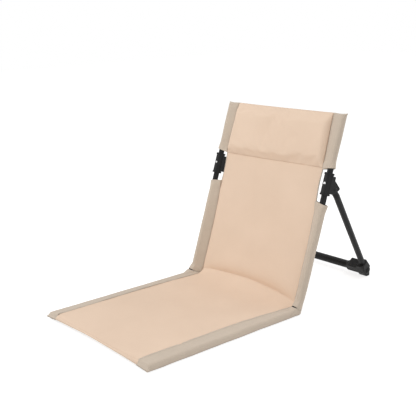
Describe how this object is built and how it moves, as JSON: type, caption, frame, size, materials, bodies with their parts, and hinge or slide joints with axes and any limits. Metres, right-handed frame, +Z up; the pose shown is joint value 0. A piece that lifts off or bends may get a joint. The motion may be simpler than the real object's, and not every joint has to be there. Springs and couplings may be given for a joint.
{
  "type": "folding floor chair",
  "caption": "Low folding floor chair: cloth seat and reclined cloth back on tube side frames, with a headrest pad and a fold-out stand behind.",
  "frame": {"origin": "middle of the footprint at floor level, between the seat's front tips and the feet of the open stand", "axes": "+Z up from the floor; the sitter faces -Y; +X is to the right as seen from in front, along the fold"},
  "size_m": [0.3704, 0.6938, 0.4081],
  "materials": {
    "main_cloth": "woven polyester, warm peach beige, matt",
    "edge_cloth": "woven polyester, greige, matt",
    "black_tube": "black powder coat, satin",
    "black_plastic": "black moulded plastic, fine texture",
    "black_steel": "blackened steel, satin",
    "bare_steel": "zinc-plated steel"
  },
  "bodies": {
    "back": {"back_tube_left": "black_tube", "back_tube_right": "black_tube", "back_cap_left": "black_plastic", "back_cap_right": "black_plastic", "bracket_left": "black_plastic", "bracket_right": "black_plastic", "bracket_rivets": "bare_steel", "pivot_pin_left": "black_steel", "pivot_pin_right": "black_steel", "hinge_fork_left": "black_plastic", "hinge_fork_right": "black_plastic", "back_panel": "main_cloth", "headrest_pad": "main_cloth", "upper_sleeve_left": "edge_cloth", "upper_sleeve_right": "edge_cloth", "lower_sleeve_left": "edge_cloth", "lower_sleeve_right": "edge_cloth", "fold_pin_left": "bare_steel", "fold_pin_right": "bare_steel"},
    "seat": {"seat_tube_left": "black_tube", "seat_tube_right": "black_tube", "seat_cap_left": "black_plastic", "seat_cap_right": "black_plastic", "hinge_tongue_left": "black_plastic", "hinge_tongue_right": "black_plastic", "seat_panel": "main_cloth", "seat_sleeve_left": "edge_cloth", "seat_sleeve_right": "edge_cloth"},
    "stand": {"strut_left": "black_tube", "strut_right": "black_tube", "strut_head_left": "black_plastic", "strut_head_right": "black_plastic", "foot_left": "black_plastic", "foot_right": "black_plastic", "cross_tube": "black_tube", "foot_screws": "black_steel"}
  },
  "joints": [
    {"name": "seat_fold", "type": "hinge", "parent": "back", "child": "seat", "pos_m": [0, 0.03713, 0.0158], "axis": [-1, 0, 0], "range_deg": [0, 108]},
    {"name": "stand_fold", "type": "hinge", "parent": "back", "child": "stand", "pos_m": [0, 0.15159, 0.25123], "axis": [-1, 0, 0], "range_deg": [0, 57]}
  ]
}
